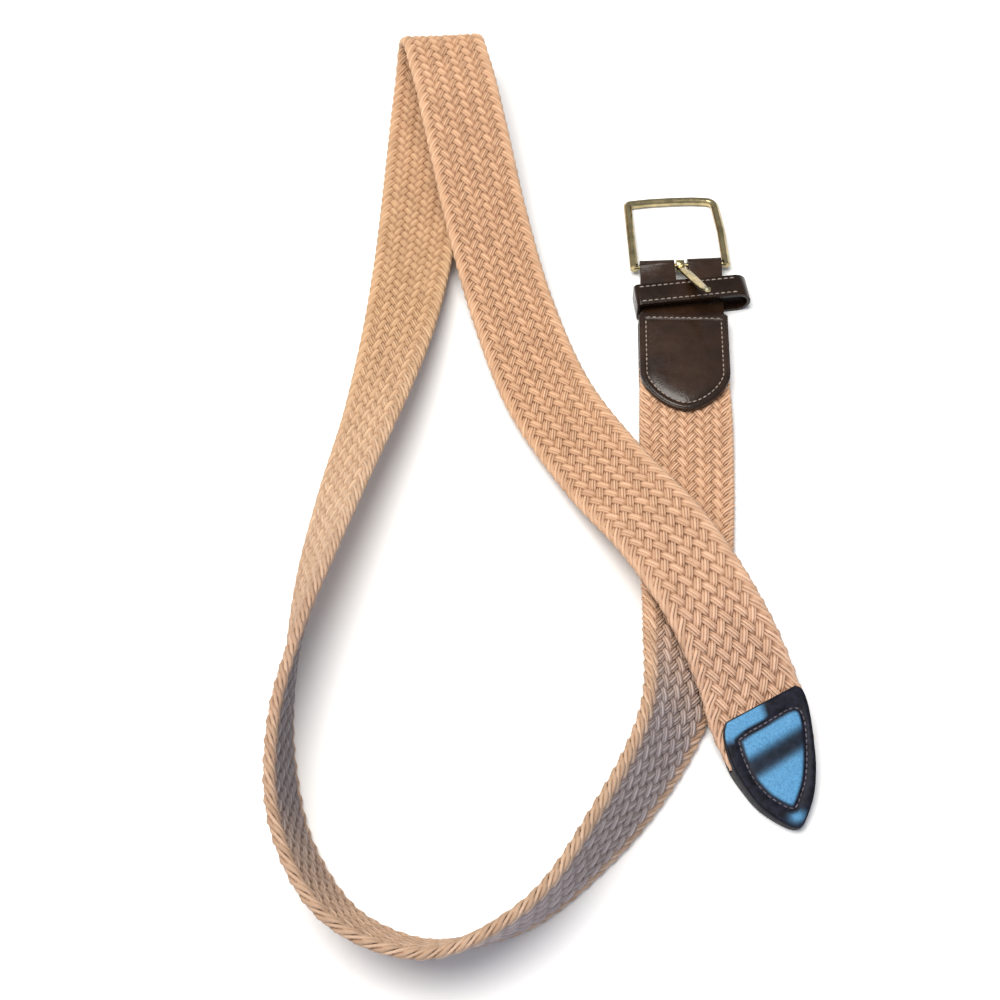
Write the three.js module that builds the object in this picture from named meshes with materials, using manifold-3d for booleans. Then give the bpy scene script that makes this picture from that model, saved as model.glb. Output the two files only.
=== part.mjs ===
// A braided belt lying on a surface: an elastic woven band with a leather-backed
// frame buckle at one end and a sewn leather tip at the other.
// Millimetres, +Z up. The belt lies on the plane z = 0.
import * as THREE from 'three';
import { mergeVertices } from 'three/addons/utils/BufferGeometryUtils.js';
import Module from 'manifold-3d';

const wasm = await Module();
wasm.setup();
const { Manifold, Mesh: SolidMesh } = wasm;

// Driving dimensions: how the belt lies
const layWidth = 180;
const layLength = 395;
const foldHeight = 25;
const layerGap = 0.6;
const floorGap = 0.35;

// Driving dimensions: the woven band. Leather grips it at a share of its thickness.
const bandWidth = 35;
const bandThickness = 4.5;
const gripShare = 0.8;
const gripThickness = gripShare * bandThickness;
const bandStep = 4.5;
const edgeSides = 4;

// Driving dimensions: leather. fit is the play between parts that touch.
const leather = 1.7;
const eyeLeather = 0.75 * leather;
const fit = 0.3;
const chapeWidth = 0.9 * bandWidth;
const patchWidth = 0.96 * bandWidth;
const patchLength = 43.3;
const patchShoulder = 0.62 * patchLength;
const eyeRun = 8;
const flareStart = 24.4;
const flareRun = 2.5;
const barToBand = flareStart + flareRun;

// Driving dimensions: the buckle. Play is left between the arms and the leather.
const frameBar = 3;
const framePlay = 0.65;
const frameWidth = chapeWidth + 2 * (framePlay + frameBar);
const frameFarWidth = 0.97 * frameWidth;
const frameDepth = 33.9;
const frameBow = 0.8;
const armBow = 0.5;
const frameBevel = 0.28;
const barRadius = 1;
const sharpCorner = 1.2;
const roundCorner = 3.6;
const armPast = 0.6;
const frameShift = -0.2;
const buckleSkew = 4.6;

// Driving dimensions: the tongue. Its ring is loose on the bar and its prong just
// reaches past the far bar.
const tongueLength = frameDepth + 1.2;
const tongueWidth = 3.8;
const tongueThickness = 1.8;
const tongueYaw = 9.5;
const tongueOffset = -0.2;
const tipCurl = 1.1;
const ringWidth = 3;
const ringWall = 0.95;
const ringPlay = 0.4;
const slotWidth = ringWidth + 2.2;
const slotLength = eyeRun;

// Driving dimensions: the keeper loop
const keeperLeather = 1.3;
const keeperPlay = 1.25;
const keeperBulge = 8.6;
const keeperInnerWidth = chapeWidth + keeperPlay + keeperBulge;
const keeperInnerHeight = 7.4;
const keeperStrip = 9.6;
const keeperFold = 0.5;
const keeperFromBar = eyeRun + 8.2;
const keeperSkew = 8.6;

// Driving dimensions: the leather tip. tipGrip is how far it reaches back over the band
// and tipRise how far its point bends up to lie along the surface.
const tipWidth = 0.943 * bandWidth;
const tipLength = 45.3;
const tipGrip = 21;
const tipRise = 2.6;

const degree = Math.PI / 180;
const roundSides = 24;
const cornerSteps = 4;

// The way the band lies, from the buckle end round to the tip. x and y are shares of
// layWidth and layLength. across is the compass angle of the band's rope edge and roll
// lifts that edge off the surface, in degrees. width and thick are shares of the band's
// own. layers counts bands beneath, edge is a height in band widths and fold is one in
// fold heights.
const columns = ['x', 'y', 'across', 'roll', 'width', 'thick', 'layers', 'edge', 'fold'];
const lay = [
  [0.3862, 0.1975, 178.6, 0, 0.94, 0.80, 0, 0.048, 0],
  [0.3832, 0.1395, 178.6, 0, 0.97, 0.80, 0, 0.048, 0],
  [0.3802, 0.0815, 178.6, 0, 1.00, 0.80, 0, 0.048, 0],
  [0.3755, 0.0200, 178, 1, 1.00, 1.00, 0, 0.000, 0],
  [0.3645, -0.0560, 178, 9, 1.00, 1.00, 0, 0.000, 0],
  [0.3500, -0.1520, 169, 27, 0.98, 1.00, 0, 0.000, 0],
  [0.2990, -0.2510, 149, 58, 0.98, 1.00, 0, 0.000, 0],
  [0.1780, -0.3430, 138, 77, 0.98, 1.00, 0, 0.000, 0],
  [0.0280, -0.4130, 115, 98, 0.98, 1.00, 0, 0.000, 0],
  [-0.1280, -0.4350, 92, 114, 0.98, 1.00, 0, 0.000, 0],
  [-0.2670, -0.4100, 58, 115, 0.98, 1.00, 0, 0.000, 0],
  [-0.3590, -0.3480, 25, 108, 0.98, 1.00, 0, 0.000, 0],
  [-0.3930, -0.2660, 6, 96, 0.98, 1.00, 0, 0.000, 0],
  [-0.3820, -0.1770, -8, 80, 0.98, 1.00, 0, 0.000, 0],
  [-0.3490, -0.0890, -14, 63, 0.97, 1.00, 0, 0.000, 0],
  [-0.3030, 0.0000, -18, 51, 0.95, 1.00, 0, 0.000, 0],
  [-0.2510, 0.0890, -16, 40, 0.93, 1.00, 0, 0.000, 0],
  [-0.2130, 0.1770, -10, 25, 0.91, 1.00, 0, 0.000, 0],
  [-0.1880, 0.2660, -6, 12, 0.91, 1.00, 0, 0.000, 0],
  [-0.1710, 0.3670, -4, 3, 0.93, 1.00, 0, 0.000, 0],
  [-0.1610, 0.4560, -3, 0, 0.93, 1.00, 0, 0.000, 0],
  [-0.1530, 0.5110, -2, 0, 0.93, 1.00, 0, 0.000, 0.06],
  [-0.1440, 0.5360, 0, 0, 0.93, 1.00, 0, 0.000, 0.45],
  [-0.1310, 0.5210, 3, 0, 0.94, 1.00, 0, 0.000, 0.86],
  [-0.1100, 0.4810, 7, 0, 0.94, 1.00, 0, 0.000, 0.93],
  [-0.0730, 0.4000, 10, 0, 0.94, 1.00, 0, 0.000, 0.78],
  [-0.0320, 0.3090, 13, 0, 0.93, 1.00, 0, 0.000, 0.50],
  [0.0260, 0.2030, 18, 0, 0.93, 1.00, 0, 0.000, 0.24],
  [0.1010, 0.1060, 25, 0, 0.96, 1.00, 0, 0.000, 0.12],
  [0.2080, 0.0180, 37, 0, 0.98, 1.00, 1, 0.000, 0.04],
  [0.3170, -0.0635, 34, -4, 1.00, 1.00, 1, 0.250, 0],
  [0.3970, -0.1350, 25, -8, 1.00, 1.00, 0, 0.420, 0],
  [0.4585, -0.1985, 18.4, 0, 0.96, 0.80, 0, 0.250, 0],
  [0.4780, -0.2308, 18.4, 0, 0.97, 0.80, 0, 0.165, 0],
  [0.4990, -0.2630, 18.4, 0, 0.86, 0.80, 0, 0.080, 0],
].map((row) => Object.fromEntries(columns.map((name, i) => [name, row[i]])));

// Paint for each kind of material
const paints = {
  cotton: { color: 0xdcae88, roughness: 0.85, metalness: 0 },
  leather: { color: 0x3a2018, roughness: 0.35, metalness: 0 },
  tip: { color: 0x2f5f86, roughness: 0.3, metalness: 0 },
  brass: { color: 0x8f8452, roughness: 0.3, metalness: 1 },
};

function named(name, geometry, paint) {
  const mesh = new THREE.Mesh(geometry, new THREE.MeshStandardMaterial(paints[paint]));
  mesh.name = name;
  return mesh;
}

// Solids from closed geometries, and back
function solid(geometry) {
  const bare = geometry.index ? geometry.toNonIndexed() : geometry.clone();
  bare.deleteAttribute('normal');
  bare.deleteAttribute('uv');
  const merged = mergeVertices(bare, 1e-5);
  return new Manifold(new SolidMesh({
    numProp: 3,
    vertProperties: new Float32Array(merged.attributes.position.array),
    triVerts: new Uint32Array(merged.index.array),
  }));
}

function geometryOf(body) {
  const mesh = body.getMesh();
  const geometry = new THREE.BufferGeometry();
  const places = new Float32Array(mesh.vertProperties);
  geometry.setAttribute('position', new THREE.BufferAttribute(places, 3));
  geometry.setIndex(new THREE.BufferAttribute(new Uint32Array(mesh.triVerts), 1));
  geometry.computeVertexNormals();
  return geometry;
}

// A closed skin over rings of points, flat at both ends
function skin(rings) {
  const count = rings[0].length;
  const positions = rings.flat().flatMap((p) => [p.x, p.y, p.z]);
  const index = [];
  for (let i = 0; i + 1 < rings.length; i += 1) {
    for (let j = 0; j < count; j += 1) {
      const a = i * count + j;
      const b = i * count + ((j + 1) % count);
      index.push(a, b, b + count, a, b + count, a + count);
    }
  }
  const last = (rings.length - 1) * count;
  for (let j = 1; j + 1 < count; j += 1) {
    index.push(0, j + 1, j);
    index.push(last, last + j, last + j + 1);
  }
  const geometry = new THREE.BufferGeometry();
  geometry.setAttribute('position', new THREE.Float32BufferAttribute(positions, 3));
  geometry.setIndex(index);
  geometry.computeVertexNormals();
  return geometry;
}

// The band's middle line: a smooth curve through the rows, by cubic pieces whose
// knots are the straight distances between rows
function rowPoint(row) {
  const width = row.width * bandWidth;
  const thick = row.thick * bandThickness;
  const beneath = row.layers * (bandThickness + layerGap) + row.edge * bandWidth;
  const low = floorGap + beneath + row.fold * foldHeight;
  const z = low + thick / 2 + ((width - thick) / 2) * Math.abs(Math.sin(row.roll * degree));
  return [row.x * layWidth, row.y * layLength, z, row.across, row.roll, width, thick];
}

function smoothCurve(points) {
  const places = points.map((p) => new THREE.Vector3(p[0], p[1], p[2]));
  const steps = places.slice(1).map((place, i) => place.distanceTo(places[i]));
  const knots = [0];
  steps.forEach((step) => knots.push(knots[knots.length - 1] + step));
  const chords = steps.map((step, i) => points[i].map((v, c) => (points[i + 1][c] - v) / step));
  const slopes = points.map((p, i) => {
    if (i === 0) return chords[0];
    if (i === points.length - 1) return chords[i - 1];
    const before = steps[i - 1];
    const after = steps[i];
    return chords[i].map((v, c) => (chords[i - 1][c] * after + v * before) / (before + after));
  });
  const at = (s) => {
    let i = 0;
    while (i + 2 < knots.length && knots[i + 1] <= s) i += 1;
    const h = steps[i];
    const t = (s - knots[i]) / h;
    const next = points[i + 1];
    const [out, back] = [slopes[i], slopes[i + 1]];
    const value = points[i].map((v, c) => (
      (2 * t ** 3 - 3 * t ** 2 + 1) * v + (t ** 3 - 2 * t ** 2 + t) * h * out[c]
      + (3 * t ** 2 - 2 * t ** 3) * next[c] + (t ** 3 - t ** 2) * h * back[c]));
    const slope = points[i].map((v, c) => (
      ((6 * t * t - 6 * t) / h) * (v - next[c])
      + (3 * t * t - 4 * t + 1) * out[c] + (3 * t * t - 2 * t) * back[c]));
    return { value, slope };
  };
  return { at, length: knots[knots.length - 1] };
}

const bandCurve = smoothCurve(lay.map(rowPoint));

// The band's place at one distance: middle, travel, rope-edge side and face
function bandFrame(s) {
  const { value, slope } = bandCurve.at(s);
  const [x, y, z, across, roll, width, thick] = value;
  const travel = new THREE.Vector3(slope[0], slope[1], slope[2]).normalize();
  const flat = Math.cos(roll * degree);
  const side = new THREE.Vector3(
    flat * Math.cos(across * degree),
    flat * Math.sin(across * degree),
    Math.sin(roll * degree),
  );
  side.addScaledVector(travel, -side.dot(travel)).normalize();
  const face = side.clone().cross(travel);
  return { middle: new THREE.Vector3(x, y, z), travel, side, face, width, thick };
}

// Section of the band: a flat middle between two round edges
function bandRing({ middle, side, face, width, thick }) {
  const ring = [];
  [1, -1].forEach((end) => {
    for (let k = 0; k <= edgeSides; k += 1) {
      const angle = (-90 + (180 * k) / edgeSides) * degree;
      const out = end * (width / 2 - thick / 2 + (thick / 2) * Math.cos(angle));
      const up = end * (thick / 2) * Math.sin(angle);
      ring.push(middle.clone().addScaledVector(side, out).addScaledVector(face, up));
    }
  });
  return ring.reverse();
}

function wovenBand() {
  const count = Math.round(bandCurve.length / bandStep);
  const rings = [];
  for (let i = 0; i <= count; i += 1) {
    rings.push(bandRing(bandFrame((bandCurve.length * i) / count)));
  }
  return skin(rings);
}

// Places of the two ends: local x across, y back along the band, z out of the top face
function endPlace(frame, faceUp) {
  const group = new THREE.Group();
  const x = frame.side.clone().multiplyScalar(faceUp ? -1 : 1);
  const y = frame.travel.clone().negate();
  const z = x.clone().cross(y);
  group.quaternion.setFromRotationMatrix(new THREE.Matrix4().makeBasis(x, y, z));
  group.position.copy(frame.middle);
  return group;
}

function extrude(points, depth) {
  const shape = points instanceof THREE.Shape ? points : new THREE.Shape(points);
  const options = { depth, bevelEnabled: false, curveSegments: roundSides / 2 };
  return solid(new THREE.ExtrudeGeometry(shape, options));
}

function block(x0, x1, y0, y1, z0, z1) {
  const geometry = new THREE.BoxGeometry(x1 - x0, y1 - y0, z1 - z0);
  geometry.translate((x0 + x1) / 2, (y0 + y1) / 2, (z0 + z1) / 2);
  return solid(geometry);
}

// A side view drawn as (y, z) points, standing along x
function alongX(points, width) {
  const turn = new THREE.Matrix4().makeBasis(
    new THREE.Vector3(0, 1, 0),
    new THREE.Vector3(0, 0, 1),
    new THREE.Vector3(1, 0, 0),
  );
  const outline = points.map(([y, z]) => new THREE.Vector2(y, z));
  return extrude(outline, width).transform(turn.elements).translate([-width / 2, 0, 0]);
}

function rod(radius, length) {
  const geometry = new THREE.CylinderGeometry(radius, radius, length, roundSides);
  geometry.rotateZ(Math.PI / 2);
  return solid(geometry);
}

// The chape: leather folded over the heel bar, gripping the band between a front and
// a back patch. Its local origin is the heel bar's middle, and the band lies along -y.
const slotHeight = gripThickness + 2 * fit;
const patchHalf = slotHeight / 2 + leather;
const eyeRadius = barRadius + fit + eyeLeather;

function patchOutline() {
  const half = patchWidth / 2;
  const neck = chapeWidth / 2;
  const start = -barToBand;
  const shoulder = start - patchShoulder;
  const end = start - patchLength;
  const pull = 0.6 * shoulder + 0.4 * end;
  const fullness = 0.46 * half;
  const shape = new THREE.Shape();
  shape.moveTo(-neck, 0);
  shape.lineTo(-neck, -flareStart);
  shape.lineTo(-half, start);
  shape.lineTo(-half, shoulder);
  shape.bezierCurveTo(-half, pull, -fullness, end, 0, end);
  shape.bezierCurveTo(fullness, end, half, pull, half, shoulder);
  shape.lineTo(half, start);
  shape.lineTo(neck, -flareStart);
  shape.lineTo(neck, 0);
  shape.closePath();
  return shape;
}

// Side view of the leather: it slopes down from the eye, runs flat under the keeper,
// rises over the band's end and parts into two leaves
function chapeProfile() {
  const start = -barToBand;
  const mouth = start - 2 * patchLength;
  const wedge = [[0, eyeRadius], [-eyeRun, leather], [-flareStart, leather]];
  const top = [...wedge, [start, patchHalf], [mouth, patchHalf]];
  const slot = [[mouth, slotHeight / 2], [start + fit, slotHeight / 2]];
  const upper = [...top, ...slot];
  const lower = upper.map(([y, z]) => [y, -z]).reverse();
  return [...upper, ...lower];
}

function chapeBody() {
  const plan = extrude(patchOutline(), 4 * patchHalf).translate([0, 0, -2 * patchHalf]);
  const strap = plan.intersect(alongX(chapeProfile(), 2 * patchWidth));
  const eye = rod(eyeRadius, chapeWidth).rotate([0, 0, buckleSkew]);
  const hole = rod(barRadius + fit, 2 * chapeWidth).rotate([0, 0, buckleSkew]);
  const across = [-slotWidth / 2, slotWidth / 2];
  const slot = block(...across, -slotLength, 2 * eyeRadius, -2 * eyeRadius, 2 * eyeRadius);
  return geometryOf(strap.add(eye).subtract(hole).subtract(slot.rotate([0, 0, buckleSkew])));
}

// The keeper loop: a closed ring of leather, folded close round the strap at its left
// and bulging at its right
function keeperOutline(gap) {
  const left = -keeperInnerWidth / 2 - gap;
  const right = keeperInnerWidth / 2 + gap;
  const half = keeperInnerHeight / 2 + gap;
  const fold = keeperFold + gap;
  const path = new THREE.Path();
  path.moveTo(left + fold, -half);
  path.lineTo(right - half, -half);
  path.absarc(right - half, 0, half, -Math.PI / 2, Math.PI / 2, false);
  path.lineTo(left + fold, half);
  path.absarc(left + fold, half - fold, fold, Math.PI / 2, Math.PI, false);
  path.lineTo(left, fold - half);
  path.absarc(left + fold, fold - half, fold, Math.PI, (3 * Math.PI) / 2, false);
  return path.getPoints(roundSides / 2);
}

function keeperBody() {
  const shape = new THREE.Shape(keeperOutline(keeperLeather));
  shape.holes.push(new THREE.Path(keeperOutline(0)));
  const strip = extrude(shape, keeperStrip).rotate([90, 0, 0]);
  return geometryOf(strip.translate([0, keeperStrip / 2, 0]));
}

// The buckle frame: two arms and a far bar of one bevelled section, with the heel bar
function framePath() {
  const near = (frameWidth - frameBar) / 2;
  const far = (frameFarWidth - frameBar) / 2;
  const points = [new THREE.Vector2(-near, -armPast), new THREE.Vector2(-near, 0)];
  const corner = (x, y, radius, from) => {
    for (let k = 0; k <= cornerSteps; k += 1) {
      const angle = (from - (90 * k) / cornerSteps) * degree;
      points.push(new THREE.Vector2(x + radius * Math.cos(angle), y + radius * Math.sin(angle)));
    }
  };
  corner(-far + sharpCorner, frameDepth - sharpCorner, sharpCorner, 180);
  [-0.5, 0, 0.5].forEach((share) => {
    points.push(new THREE.Vector2(share * far, frameDepth + frameBow * (1 - share ** 2)));
  });
  corner(far - roundCorner, frameDepth - roundCorner, roundCorner, 90);
  points.push(new THREE.Vector2((near + far) / 2 + armBow, frameDepth / 2));
  points.push(new THREE.Vector2(near, 0), new THREE.Vector2(near, -armPast));
  return points;
}

function frameBody() {
  const path = framePath();
  const half = frameBar / 2;
  const flat = half * (1 - 2 * frameBevel);
  const outline = [[half, -flat], [half, flat], [flat, half], [-flat, half], [-half, flat],
    [-half, -flat], [-flat, -half], [flat, -half]];
  const rings = path.map((point, i) => {
    const before = path[Math.max(i - 1, 0)];
    const after = path[Math.min(i + 1, path.length - 1)];
    const along = after.clone().sub(before).normalize();
    const out = new THREE.Vector2(-along.y, along.x);
    return outline.map(([a, b]) => new THREE.Vector3(point.x + out.x * a, point.y + out.y * a, b));
  });
  const hoop = solid(skin(rings));
  return geometryOf(hoop.add(rod(barRadius, frameWidth - frameBar)));
}

// The tongue: a ring loose on the heel bar and a flat prong whose end curls back. It lies
// along -y here. reach, width and up are shares of the prong's length, width and curl.
const ringInner = barRadius + ringPlay;
const ringOuter = ringInner + ringWall;
const prongRows = [
  { reach: 0.07, width: 0.84, up: 0 },
  { reach: 0.22, width: 1.0, up: 0 },
  { reach: 0.62, width: 0.95, up: 0 },
  { reach: 0.86, width: 0.82, up: 0.12 },
  { reach: 0.95, width: 0.72, up: 0.5 },
  { reach: 1.0, width: 0.58, up: 1.0 },
];

function tongueBody() {
  const high = tongueThickness / 2;
  const rings = prongRows.map(({ reach, width, up }) => {
    const wide = (width * tongueWidth) / 2;
    const section = [[wide, -high / 2], [wide, high / 2], [0.6 * wide, high], [-0.6 * wide, high],
      [-wide, high / 2], [-wide, -high / 2], [-0.6 * wide, -high], [0.6 * wide, -high]];
    return section.map(([x, z]) => new THREE.Vector3(x, -tongueLength * reach, tipCurl * up + z));
  });
  const hole = rod(ringInner, 2 * tongueWidth);
  const prong = solid(skin(rings)).rotate([0, 0, tongueYaw]).subtract(hole);
  return geometryOf(prong.add(rod(ringOuter, ringWidth).subtract(hole)));
}

// The leather tip: two leaves sewn over the band's end, joined past it in a point. Its
// local origin is the band's end, and the point lies along -y. across is a share of half
// the tip's width and down is a share of its length, from the mouth round the point.
const tipOutline = [
  { across: -0.72, down: 0.125 },
  { across: -0.86, down: 0.225 },
  { across: -0.89, down: 0.44 },
  { across: -0.77, down: 0.63 },
  { across: -0.60, down: 0.79 },
  { across: -0.255, down: 0.947 },
  { across: 0, down: 1 },
  { across: 0.195, down: 0.95 },
  { across: 0.52, down: 0.79 },
  { across: 0.75, down: 0.592 },
  { across: 0.88, down: 0.408 },
  { across: 0.97, down: 0.247 },
  { across: 1.01, down: 0.117 },
  { across: 0.98, down: 0.03 },
  { across: 0.86, down: 0 },
];

function tipBody() {
  const corners = tipOutline.map(({ across, down }) => (
    new THREE.Vector2((across * tipWidth) / 2, tipGrip - down * tipLength)));
  const outline = new THREE.SplineCurve(corners).getPoints(3 * corners.length);
  const plan = extrude(outline, 4 * patchHalf).translate([0, 0, -2 * patchHalf]);
  const point = tipGrip - tipLength;
  const side = alongX([[tipGrip, patchHalf], [0, patchHalf], [point, leather + tipRise],
    [point, tipRise - leather], [0, -patchHalf], [tipGrip, -patchHalf]], 4 * tipWidth);
  const slot = block(-2 * tipWidth, 2 * tipWidth, -fit, 2 * tipGrip, -slotHeight / 2, slotHeight / 2);
  return geometryOf(plan.intersect(side).subtract(slot));
}

// Assembly
const belt = new THREE.Group();
belt.add(named('woven_band', wovenBand(), 'cotton'));

const buckleEnd = endPlace(bandFrame(0), true);
buckleEnd.translateY(barToBand);
belt.add(buckleEnd);
buckleEnd.add(named('chape', chapeBody(), 'leather'));

const barHeight = bandFrame(0).middle.z;
const keeperTop = keeperInnerHeight + 2 * keeperLeather;
const keeper = named('keeper_loop', keeperBody(), 'leather');
keeper.position.set((keeperBulge - keeperPlay) / 2, -keeperFromBar, keeperTop / 2 - barHeight);
keeper.rotation.z = keeperSkew * degree;
buckleEnd.add(keeper);

// The frame's far bar rests on the surface, and the prong leans on the keeper's near edge
const hinge = new THREE.Group();
hinge.rotation.z = buckleSkew * degree;
buckleEnd.add(hinge);
const frame = named('buckle_frame', frameBody(), 'brass');
frame.position.x = frameShift;
frame.rotation.x = -Math.asin((barHeight - frameBar / 2) / (frameDepth + frameBow));
hinge.add(frame);
const prongRise = keeperTop - barHeight + tongueThickness / 2 + 2 * fit;
const lean = new THREE.Group();
lean.rotation.x = -Math.atan2(prongRise, keeperFromBar - keeperStrip / 2);
lean.position.x = tongueOffset;
hinge.add(lean);
const tongue = named('tongue', tongueBody(), 'brass');
lean.add(tongue);

const tipEnd = endPlace(bandFrame(bandCurve.length), false);
tipEnd.add(named('tip_leather', tipBody(), 'tip'));
belt.add(tipEnd);

// The origin is the middle of the belt's footprint, on the surface
const group = new THREE.Group();
group.add(belt);
group.updateMatrixWorld(true);
const box = new THREE.Box3().setFromObject(group, true);
belt.position.set(-(box.min.x + box.max.x) / 2, -(box.min.y + box.max.y) / 2, -box.min.z);
group.updateMatrixWorld(true);

export default group;
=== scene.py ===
import math

import bpy
import numpy as np
from mathutils import Matrix, Vector


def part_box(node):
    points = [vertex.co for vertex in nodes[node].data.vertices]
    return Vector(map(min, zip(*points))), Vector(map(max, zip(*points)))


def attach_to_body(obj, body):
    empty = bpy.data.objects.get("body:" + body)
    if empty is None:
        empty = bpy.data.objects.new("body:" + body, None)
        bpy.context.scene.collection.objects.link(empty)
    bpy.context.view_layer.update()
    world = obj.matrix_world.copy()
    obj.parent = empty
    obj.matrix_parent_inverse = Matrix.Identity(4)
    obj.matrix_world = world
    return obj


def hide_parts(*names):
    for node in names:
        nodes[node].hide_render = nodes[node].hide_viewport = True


# The look of a braided belt over its CAD frame. Sizes here are in millimetres.
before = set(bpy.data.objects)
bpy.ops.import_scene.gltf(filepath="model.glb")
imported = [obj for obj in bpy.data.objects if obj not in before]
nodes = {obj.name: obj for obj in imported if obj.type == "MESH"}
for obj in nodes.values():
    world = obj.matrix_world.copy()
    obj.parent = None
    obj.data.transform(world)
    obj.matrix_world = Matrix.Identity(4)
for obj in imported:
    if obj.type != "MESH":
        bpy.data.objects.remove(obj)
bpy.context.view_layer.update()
MM = 0.001

# How the belt lies, as in the CAD model
LAY_WIDTH, LAY_LENGTH, FOLD_HEIGHT, LAYER_GAP, FLOOR_GAP = 180.0, 395.0, 25.0, 0.6, 0.35
BAND_WIDTH, BAND_THICKNESS = 35.0, 4.5
GRIP_THICKNESS, LEATHER, FIT = 0.8 * BAND_THICKNESS, 1.7, 0.3
BAR_TO_BAND = 26.9
PATCH_WIDTH, PATCH_LENGTH = 0.96 * BAND_WIDTH, 43.3
PATCH_SHOULDER = 0.62 * PATCH_LENGTH
KEEPER_WIDTH, KEEPER_HEIGHT, KEEPER_LEATHER, KEEPER_STRIP = 41.35, 7.4, 1.3, 9.6
KEEPER_SHIFT, KEEPER_FROM_BAR, KEEPER_SKEW = 3.675, 16.2, 8.6
TIP_WIDTH, TIP_LENGTH, TIP_GRIP, TIP_RISE = 0.943 * BAND_WIDTH, 45.3, 21.0, 2.6
PATCH_HALF = GRIP_THICKNESS / 2 + FIT + LEATHER

# x and y are shares of the lay's size, across and roll are degrees, width and thick are
# shares of the band's own, layers counts bands beneath, edge is in band widths and fold
# in fold heights.
LAY = [
    [0.3862, 0.1975, 178.6, 0, 0.94, 0.80, 0, 0.048, 0],
    [0.3832, 0.1395, 178.6, 0, 0.97, 0.80, 0, 0.048, 0],
    [0.3802, 0.0815, 178.6, 0, 1.00, 0.80, 0, 0.048, 0],
    [0.3755, 0.0200, 178, 1, 1.00, 1.00, 0, 0.000, 0],
    [0.3645, -0.0560, 178, 9, 1.00, 1.00, 0, 0.000, 0],
    [0.3500, -0.1520, 169, 27, 0.98, 1.00, 0, 0.000, 0],
    [0.2990, -0.2510, 149, 58, 0.98, 1.00, 0, 0.000, 0],
    [0.1780, -0.3430, 138, 77, 0.98, 1.00, 0, 0.000, 0],
    [0.0280, -0.4130, 115, 98, 0.98, 1.00, 0, 0.000, 0],
    [-0.1280, -0.4350, 92, 114, 0.98, 1.00, 0, 0.000, 0],
    [-0.2670, -0.4100, 58, 115, 0.98, 1.00, 0, 0.000, 0],
    [-0.3590, -0.3480, 25, 108, 0.98, 1.00, 0, 0.000, 0],
    [-0.3930, -0.2660, 6, 96, 0.98, 1.00, 0, 0.000, 0],
    [-0.3820, -0.1770, -8, 80, 0.98, 1.00, 0, 0.000, 0],
    [-0.3490, -0.0890, -14, 63, 0.97, 1.00, 0, 0.000, 0],
    [-0.3030, 0.0000, -18, 51, 0.95, 1.00, 0, 0.000, 0],
    [-0.2510, 0.0890, -16, 40, 0.93, 1.00, 0, 0.000, 0],
    [-0.2130, 0.1770, -10, 25, 0.91, 1.00, 0, 0.000, 0],
    [-0.1880, 0.2660, -6, 12, 0.91, 1.00, 0, 0.000, 0],
    [-0.1710, 0.3670, -4, 3, 0.93, 1.00, 0, 0.000, 0],
    [-0.1610, 0.4560, -3, 0, 0.93, 1.00, 0, 0.000, 0],
    [-0.1530, 0.5110, -2, 0, 0.93, 1.00, 0, 0.000, 0.06],
    [-0.1440, 0.5360, 0, 0, 0.93, 1.00, 0, 0.000, 0.45],
    [-0.1310, 0.5210, 3, 0, 0.94, 1.00, 0, 0.000, 0.86],
    [-0.1100, 0.4810, 7, 0, 0.94, 1.00, 0, 0.000, 0.93],
    [-0.0730, 0.4000, 10, 0, 0.94, 1.00, 0, 0.000, 0.78],
    [-0.0320, 0.3090, 13, 0, 0.93, 1.00, 0, 0.000, 0.50],
    [0.0260, 0.2030, 18, 0, 0.93, 1.00, 0, 0.000, 0.24],
    [0.1010, 0.1060, 25, 0, 0.96, 1.00, 0, 0.000, 0.12],
    [0.2080, 0.0180, 37, 0, 0.98, 1.00, 1, 0.000, 0.04],
    [0.3170, -0.0635, 34, -4, 1.00, 1.00, 1, 0.250, 0],
    [0.3970, -0.1350, 25, -8, 1.00, 1.00, 0, 0.420, 0],
    [0.4585, -0.1985, 18.4, 0, 0.96, 0.80, 0, 0.250, 0],
    [0.4780, -0.2308, 18.4, 0, 0.97, 0.80, 0, 0.165, 0],
    [0.4990, -0.2630, 18.4, 0, 0.86, 0.80, 0, 0.080, 0],
]

# The leather tip's outline and its stitched seam: across is a share of half the tip's
# width and down is a share of its length, from the mouth round the point.
TIP_OUTLINE = [
    [-0.72, 0.125], [-0.86, 0.225], [-0.89, 0.44], [-0.77, 0.63], [-0.60, 0.79], [-0.255, 0.947],
    [0.0, 1.0], [0.195, 0.95], [0.52, 0.79], [0.75, 0.592], [0.88, 0.408], [0.97, 0.247],
    [1.01, 0.117], [0.98, 0.03], [0.86, 0.0],
]
TIP_SEAM = [
    [-0.60, 0.28], [-0.62, 0.39], [-0.60, 0.49], [-0.55, 0.59], [-0.45, 0.68], [-0.33, 0.75],
    [-0.10, 0.835], [0.06, 0.85], [0.24, 0.78], [0.44, 0.675], [0.62, 0.52], [0.75, 0.37],
    [0.81, 0.27], [0.80, 0.19], [0.71, 0.16], [0.55, 0.16], [0.28, 0.185], [-0.02, 0.215], [-0.36, 0.245],
]

# The plait: strands of three plies that pass over two and under two
STRANDS, PLIES, STRANDS_PER_PIECE = 21, 3, 3
SAMPLES_PER_STITCH = 6
PLY_SIDES = 5
PLY_SPREAD = 1.12
PLY_HEIGHT = 0.92
# How sharply a strand goes from one face to the other
WAVE_STEEPNESS = 2.2
# The rope-like edges: columns that one takes, its roundness and a strand's width there
EDGE_COLUMNS, EDGE_ROUND, EDGE_FULLNESS = 2.0, 0.45, 0.68
# Columns over which a strand widens towards an edge, and the extra height that it gains
RIM_COLUMNS, RIM_SWELL = 4.0, 0.1
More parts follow.
